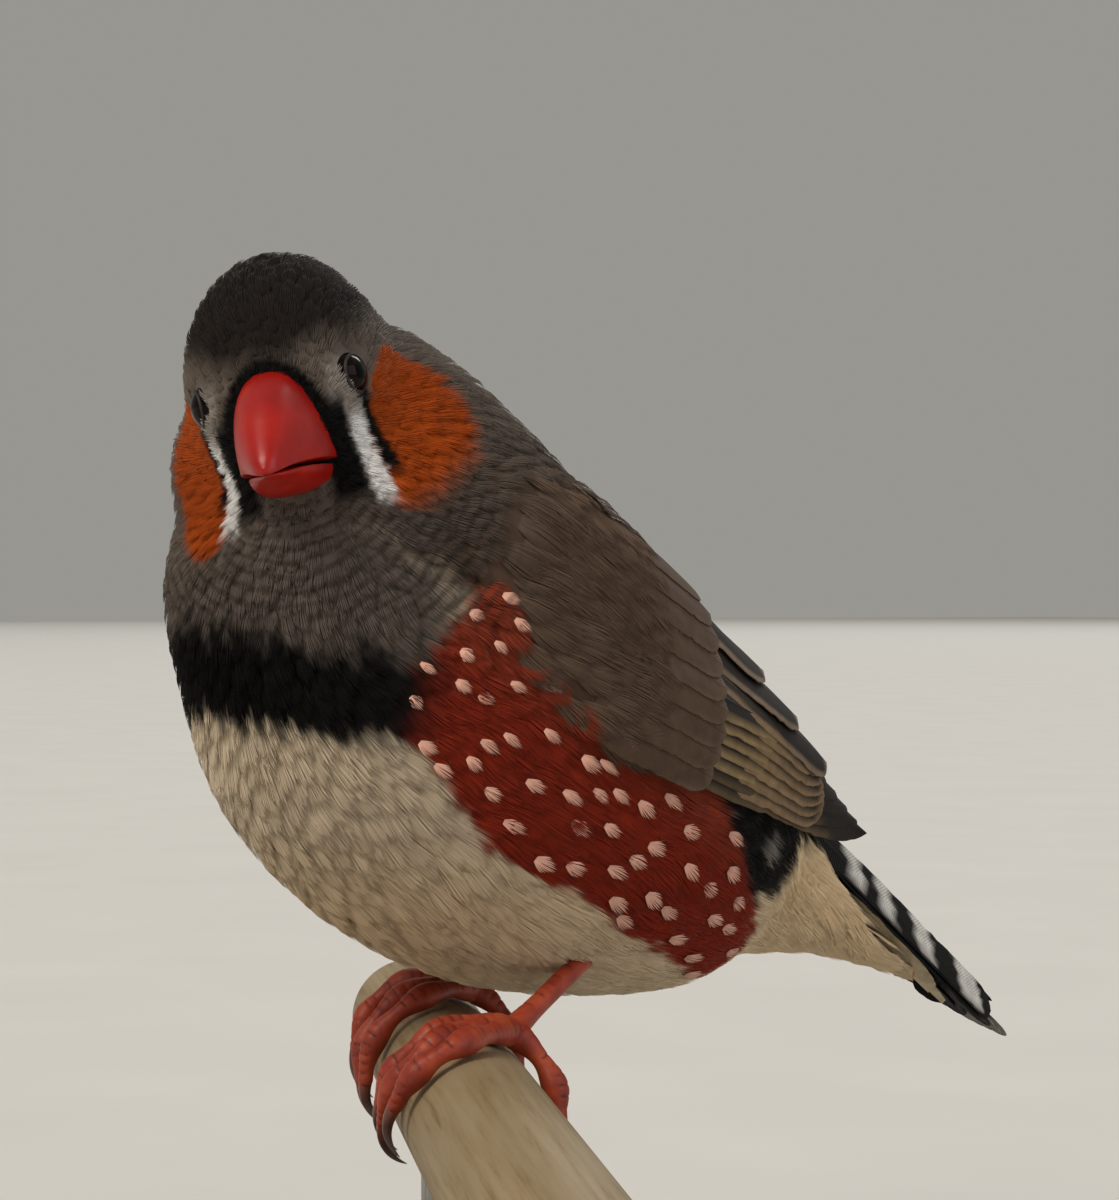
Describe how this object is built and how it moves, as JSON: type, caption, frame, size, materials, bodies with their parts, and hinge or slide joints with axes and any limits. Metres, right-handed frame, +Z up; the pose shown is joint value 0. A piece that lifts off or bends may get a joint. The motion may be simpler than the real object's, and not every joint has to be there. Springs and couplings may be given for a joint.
{
  "type": "zebra finch",
  "caption": "Small songbird with a thick red bill, spotted flanks and a barred tail, perched on a dowel that a flat stand holds up.",
  "frame": {"origin": "centre of the stand base's underside", "axes": "+Z up, -Y the way the bird's body faces, +X the bird's left"},
  "size_m": [0.1174, 0.1094, 0.0979],
  "materials": {
    "bill_horn": "smooth red horn",
    "claw_horn": "smooth horn",
    "eye": "wet and dark",
    "leg_skin": "scaly orange skin",
    "head_plumage": "matte feathers, grey crown, orange cheeks",
    "neck_plumage": "matte feathers, grey with fine dark bars",
    "dowel": "plain turned wood",
    "rump_plumage": "matte feathers, cream",
    "stand_base": "satin dark paint",
    "stand_rod": "brushed",
    "tail_feathers": "satin feathers, black with white bars",
    "body_plumage": "matte feathers, white belly, black band, spotted chestnut flanks",
    "wing_feathers": "satin feathers, grey brown with buff edges"
  },
  "bodies": {
    "root": {"bill_lower": "bill_horn", "bill_upper": "bill_horn", "claw_left_hind": "claw_horn", "claw_left_inner": "claw_horn", "claw_left_middle": "claw_horn", "claw_left_outer": "claw_horn", "claw_right_hind": "claw_horn", "claw_right_inner": "claw_horn", "claw_right_middle": "claw_horn", "claw_right_outer": "claw_horn", "eye_left": "eye", "eye_right": "eye", "foot_left": "leg_skin", "foot_right": "leg_skin", "head": "head_plumage", "leg_left": "leg_skin", "leg_right": "leg_skin", "neck": "neck_plumage", "perch": "dowel", "rump": "rump_plumage", "stand_base": "stand_base", "stand_rod_far": "stand_rod", "stand_rod_near": "stand_rod", "tail": "tail_feathers", "torso": "body_plumage", "wing_left": "wing_feathers", "wing_right": "wing_feathers"}
  },
  "joints": []
}
